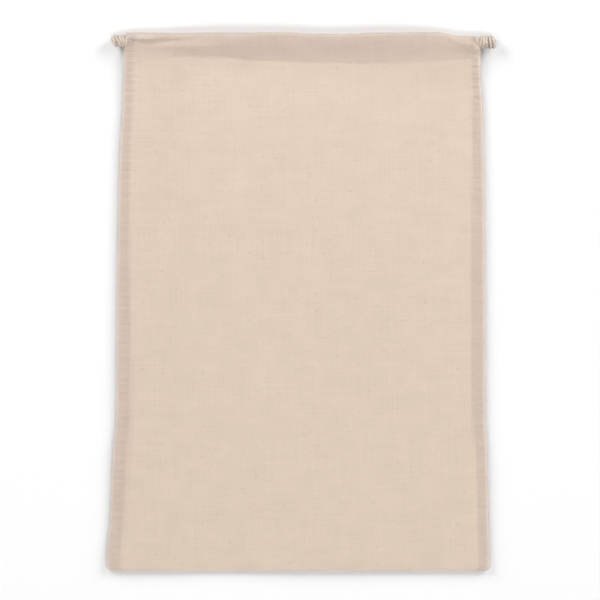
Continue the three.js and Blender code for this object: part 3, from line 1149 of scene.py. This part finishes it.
class Finish:
    """A material being made, with its nodes."""

    def __init__(self, name):
        self.material = bpy.data.materials.new(name)
        self.material.use_nodes = True
        self.tree = self.material.node_tree
        self.tree.nodes.clear()

    def node(self, kind, settings=None, sockets=None, output=0):
        """Adds a node, makes its settings, fills or links its sockets, and gives an output if it has one."""
        node = self.tree.nodes.new(kind)
        for name, value in (settings or {}).items():
            setattr(node, name, value)
        inputs = [socket for socket in node.inputs if socket.enabled]
        for key, value in (sockets or {}).items():
            socket = inputs[key] if isinstance(key, int) else next(s for s in inputs if s.name == key)
            if isinstance(value, Wire):
                self.tree.links.new(value.socket, socket)
            else:
                socket.default_value = value
        outputs = [socket for socket in node.outputs if socket.enabled]
        if not outputs:
            return None
        found = outputs[output] if isinstance(output, int) else next(s for s in outputs if s.name == output)
        return Wire(self, found)

    def noise(self, places, grain):
        """Noise over a map, stretched to the grain's size each way."""
        scale = (1 / grain.across, 1 / grain.along, 1)
        shift = (grain.shift, grain.shift * GRAIN_SLANT, 0)
        moved = self.node("ShaderNodeVectorMath", {"operation": "MULTIPLY"}, {0: places, 1: scale})
        moved = self.node("ShaderNodeVectorMath", {"operation": "ADD"}, {0: moved, 1: shift})
        sockets = {"Vector": moved, "Scale": 1.0, "Detail": grain.detail}
        return self.node("ShaderNodeTexNoise", {"noise_dimensions": "2D"}, sockets)

    def between(self, value, limits):
        """A smooth step from 0 at the lower limit to 1 at the upper."""
        low, high = limits
        sockets = {"Value": value, "From Min": low, "From Max": high, "To Min": 0.0, "To Max": 1.0}
        return self.node("ShaderNodeMapRange", {"interpolation_type": "SMOOTHSTEP"}, sockets)

    def mix(self, factor, first, second):
        """One colour to another."""
        sockets = {"Factor": factor, "A": first, "B": second}
        return self.node("ShaderNodeMix", {"data_type": "RGBA"}, sockets)

    def shade(self, colour, tone):
        """A colour made lighter or darker by a tone about 1."""
        return self.node("ShaderNodeVectorMath", {"operation": "SCALE"}, {"Vector": colour, "Scale": tone})

    def cotton(self, colour, roughness, relief, sheen):
        """Ends the material as matt cotton with a fine relief."""
        bumps = {"Height": relief, "Strength": 1.0, "Distance": RELIEF_DEPTH}
        normal = self.node("ShaderNodeBump", {}, bumps)
        shader = self.node("ShaderNodeBsdfPrincipled", {}, {
            "Base Color": colour,
            "Roughness": roughness,
            "Normal": normal,
            "Sheen Weight": sheen,
            "Sheen Roughness": SHEEN_ROUGHNESS,
            "Specular IOR Level": COTTON_SPECULAR,
        })
        return self.end(shader)

    def end(self, shader):
        """Gives the surface its shader."""
        self.node("ShaderNodeOutputMaterial", {}, {"Surface": shader})
        return self.material


def opaque(colour):
    return (*colour, 1.0)


def cotton_cloth(sizes, colours):
    """Unbleached plain-weave cotton with uneven yarn, slubs and flecks of husk."""
    finish = Finish("cotton_cloth")
    places = finish.node("ShaderNodeUVMap", {"uv_map": "cloth"})
    across = finish.node("ShaderNodeSeparateXYZ", {}, {"Vector": places}, "X")
    along = finish.node("ShaderNodeSeparateXYZ", {}, {"Vector": places}, "Y")
    wander = finish.noise(places, WANDER)
    warp = (across * (1 / sizes.thread_pitch) + wander * WARP_WANDER) * math.pi
    weft = (along * (1 / sizes.thread_pitch) + wander * WEFT_WANDER) * math.pi

    over = warp.math("COSINE") * weft.math("COSINE")
    warp_round = (warp * 2).math("COSINE") * 0.5 + 0.5
    weft_round = (weft * 2).math("COSINE") * 0.5 + 0.5
    warp_top = warp_round * (over * THREAD_SWING + THREAD_MEAN)
    weft_top = weft_round * (THREAD_MEAN - over * THREAD_SWING)
    weave = warp_top.math("MAXIMUM", weft_top)

    warp_streak = finish.noise(places, WARP_STREAK)
    weft_streak = finish.noise(places, WEFT_STREAK)
    patches = finish.noise(places, PATCHES)
    warp_dash = finish.between(finish.noise(places, WARP_DASH), DASH_LIMITS)
    weft_dash = finish.between(finish.noise(places, WEFT_DASH), DASH_LIMITS)
    dashes = warp_dash.math("MAXIMUM", weft_dash)
    husks = finish.between(finish.noise(places, HUSKS), HUSK_LIMITS)

    # The darker tone where extra cloth shows through, which also carries painted shade
    layers_and_shade = finish.node("ShaderNodeAttribute", {"attribute_name": "layers_and_shade"}, {}, "Fac")
    # Painted highlight: the paler tone mixed in over the cords and on the turned edges
    pale = finish.node("ShaderNodeAttribute", {"attribute_name": "pale"}, {}, "Fac")
    colour = finish.mix(layers_and_shade, opaque(colours.cloth), opaque(colours.layered_and_shade))
    colour = finish.mix(pale, colour, opaque(colours.pale))
    tone = (warp_streak - 0.5) * STREAK_TONE + (weft_streak - 0.5) * STREAK_TONE
    tone = tone + (patches - 0.5) * PATCH_TONE + (weave - 0.5) * WEAVE_TONE + 1
    flecks = (dashes * DASH_SHARE).math("MAXIMUM", husks * HUSK_SHARE)
    colour = finish.mix(flecks, finish.shade(colour, tone), opaque(colours.fleck))

    relief = weave * WEAVE_RELIEF + dashes * DASH_RELIEF + (warp_streak + weft_streak) * STREAK_RELIEF
    roughness = CLOTH_ROUGHNESS + patches * PATCH_ROUGHNESS
    return finish.cotton(colour, roughness, relief, CLOTH_SHEEN)


def cotton_cord(name, colour):
    """Soft cotton yarn, its fibres running round the ply."""
    finish = Finish(name)
    places = finish.node("ShaderNodeUVMap", {"uv_map": "yarn"})
    around = finish.node("ShaderNodeSeparateXYZ", {}, {"Vector": places}, "X")
    along = finish.node("ShaderNodeSeparateXYZ", {}, {"Vector": places}, "Y")
    twist = (around * FIBRES_ROUND + along * (1 / FIBRE_PITCH)) * TURN
    fibres = twist.math("SINE") * 0.5 + 0.5
    fuzz = finish.noise(places, FUZZ)
    tone = (fibres - 0.5) * FIBRE_TONE + (fuzz - 0.5) * FUZZ_TONE + 1
    relief = fibres * FIBRE_RELIEF + fuzz * FUZZ_RELIEF
    roughness = CORD_ROUGHNESS + fuzz * FUZZ_ROUGHNESS
    return finish.cotton(finish.shade(tuple(colour), tone), roughness, relief, CORD_SHEEN)


def pale_floor(colour):
    """Matt white paper."""
    finish = Finish("pale_floor")
    shader = finish.node("ShaderNodeBsdfPrincipled", {}, {
        "Base Color": opaque(colour), "Roughness": 1.0, "Specular IOR Level": 0.0,
    })
    return finish.end(shader)


# Pieces


def new_piece(name, points, faces, places, map_name, material):
    """A smooth mesh from points in millimetres, with a map whose lengths are in metres."""
    mesh = bpy.data.meshes.new(name)
    plain_faces = [[int(corner) for corner in face] for face in faces]
    mesh.from_pydata((np.array(points) * MM).tolist(), [], plain_faces)
    corners = np.empty(len(mesh.loops), int)
    mesh.loops.foreach_get("vertex_index", corners)
    map_places = np.array(places, np.float32)[corners]
    mesh.uv_layers.new(name=map_name).data.foreach_set("uv", map_places.ravel())
    mesh.polygons.foreach_set("use_smooth", np.ones(len(mesh.polygons), bool))
    mesh.materials.append(material)
    mesh.update()
    piece = bpy.data.objects.new(name, mesh)
    bpy.context.scene.collection.objects.link(piece)
    return piece


def bag_pieces():
    """The collection of the bag's own pieces, which some lamps light alone."""
    return bpy.data.collections.get("bag_pieces") or bpy.data.collections.new("bag_pieces")


def dress(piece):
    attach(piece, "root")
    bag_pieces().objects.link(piece)


def join_piece(name, joined, material):
    places = np.array(joined.places) * (1, MM)
    return new_piece(name, joined.points, joined.faces, places, "yarn", material)


class BAG_OT_stage(bpy.types.Operator):
    """Lays the floor, hangs the lights and sets the camera over the bag"""

    bl_idname = "bag.stage"
    bl_label = "Stage"

    def execute(self, context):
        stage = context.scene.bag_stage
        corners = [(-1, -1), (1, -1), (1, 1), (-1, 1)]
        reach = FLOOR_HALF / MM
        floor = new_piece(
            "floor",
            [(x * reach, y * reach, -FLOOR_DROP) for x, y in corners],
            [range(len(corners))],
            corners,
            "floor",
            pale_floor(context.scene.bag_colours.floor),
        )

        world = bpy.data.worlds.new("studio")
        world.use_nodes = True
        sky = world.node_tree.nodes["Background"]
        sky.inputs["Color"].default_value = (1, 1, 1, 1)
        sky.inputs["Strength"].default_value = stage.dome
        context.scene.world = world

        for row in LAMPS:
            light = bpy.data.lights.new(row.name, "AREA")
            light.shape = "DISK"
            light.size = row.size
            light.energy = row.power * stage.lamps
            lamp = bpy.data.objects.new(row.name, light)
            lamp.location = (row.x, row.y, row.z)
            lamp.rotation_euler = lamp.location.to_track_quat("Z", "Y").to_euler()
            if row.bag_only:
                lamp.light_linking.receiver_collection = bag_pieces()
            context.scene.collection.objects.link(lamp)

        lens = bpy.data.cameras.new("camera")
        lens.lens = lens.sensor_width * stage.camera_height / stage.view_width
        camera = bpy.data.objects.new("camera", lens)
        camera.location = (0, stage.view_centre, stage.camera_height)
        context.scene.collection.objects.link(camera)
        context.scene.camera = camera
        context.scene.view_settings.view_transform = "Standard"
        return {"FINISHED"}


class BAG_OT_drawstrings(bpy.types.Operator):
    """Threads two plied cords through the casings, each knotted at one side"""

    bl_idname = "bag.drawstrings"
    bl_label = "Drawstrings"

    def execute(self, context):
        sizes = context.scene.bag_sizes
        material = cotton_cord("cotton_cord", context.scene.bag_colours.cord)
        for side in ("left", "right"):
            joined = JoinedMesh()
            route, turns, heart = drawstring_lines(side)
            for line in (route, turns):
                joined.add_cord(line, sizes.cord / MM, sizes.cord_lay / MM, sizes.plies, PLY_SIDES)
            joined.add_tube(heart, HEART_RADIUS, HEART_SIDES)
            piece = join_piece(f"cord_{side}", joined, material)
            dress(piece)
            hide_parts(f"drawstring_{side}")
        return {"FINISHED"}


class BAG_OT_cloth(bpy.types.Operator):
    """Lays the folded cloth of the bag with its seams, hems and casings"""

    bl_idname = "bag.cloth"
    bl_label = "Cloth"

    def execute(self, context):
        sizes = context.scene.bag_sizes
        points, faces, weave, tints = cloth_sheet(sizes.cloth / MM)
        material = cotton_cloth(sizes, context.scene.bag_colours)
        piece = new_piece("cotton_bag", points, faces, weave * MM, "cloth", material)
        # Stores the darker tone with its painted shade, and the painted highlight, as attributes of the
        # points
        for name, shares in zip(("layers_and_shade", "pale"), tints.T):
            attribute = piece.data.attributes.new(name, "FLOAT", "POINT")
            attribute.data.foreach_set("value", shares.astype(np.float32))
        thickness = piece.modifiers.new("thickness", "SOLIDIFY")
        thickness.thickness = sizes.cloth
        thickness.offset = 0
        dress(piece)
        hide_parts("bag_cloth")
        return {"FINISHED"}


class BAG_OT_stitching(bpy.types.Operator):
    """Sews the hems of both casings"""

    bl_idname = "bag.stitching"
    bl_label = "Stitching"

    def execute(self, context):
        sizes = context.scene.bag_sizes
        length = sizes.stitch / MM
        radius = sizes.thread / MM / 2
        joined = JoinedMesh()
        for face in (front_face, back_face):
            for line in stitch_lines(face, STITCH_LIFT * radius, length):
                joined.add_tube(line, radius, THREAD_SIDES)
        material = cotton_cord("thread", context.scene.bag_colours.thread)
        piece = join_piece("hem_stitching", joined, material)
        dress(piece)
        return {"FINISHED"}


class BAG_PT_panel(bpy.types.Panel):
    """Makes the bag piece by piece"""

    bl_idname = "BAG_PT_panel"
    bl_label = "Drawstring Bag"
    bl_space_type = "VIEW_3D"
    bl_region_type = "UI"
    bl_category = "Bag"

    def draw(self, context):
        for group in (context.scene.bag_sizes, context.scene.bag_colours, context.scene.bag_stage):
            column = self.layout.column()
            for name in group.__annotations__:
                column.prop(group, name)
        for operator in OPERATORS:
            self.layout.operator(operator.bl_idname)


GROUPS = {"bag_sizes": BagSizes, "bag_colours": BagColours, "bag_stage": BagStage}
OPERATORS = (BAG_OT_stage, BAG_OT_drawstrings, BAG_OT_stitching, BAG_OT_cloth)
CLASSES = (*GROUPS.values(), *OPERATORS, BAG_PT_panel)


def register():
    for cls in CLASSES:
        bpy.utils.register_class(cls)
    for name, group in GROUPS.items():
        setattr(bpy.types.Scene, name, bpy.props.PointerProperty(type=group))


def unregister():
    for name in GROUPS:
        delattr(bpy.types.Scene, name)
    for cls in reversed(CLASSES):
        bpy.utils.unregister_class(cls)


def main():
    register()
    bpy.ops.bag.stage()
    bpy.ops.bag.drawstrings()
    bpy.ops.bag.stitching()
    bpy.ops.bag.cloth()


if __name__ == "__main__":
    main()
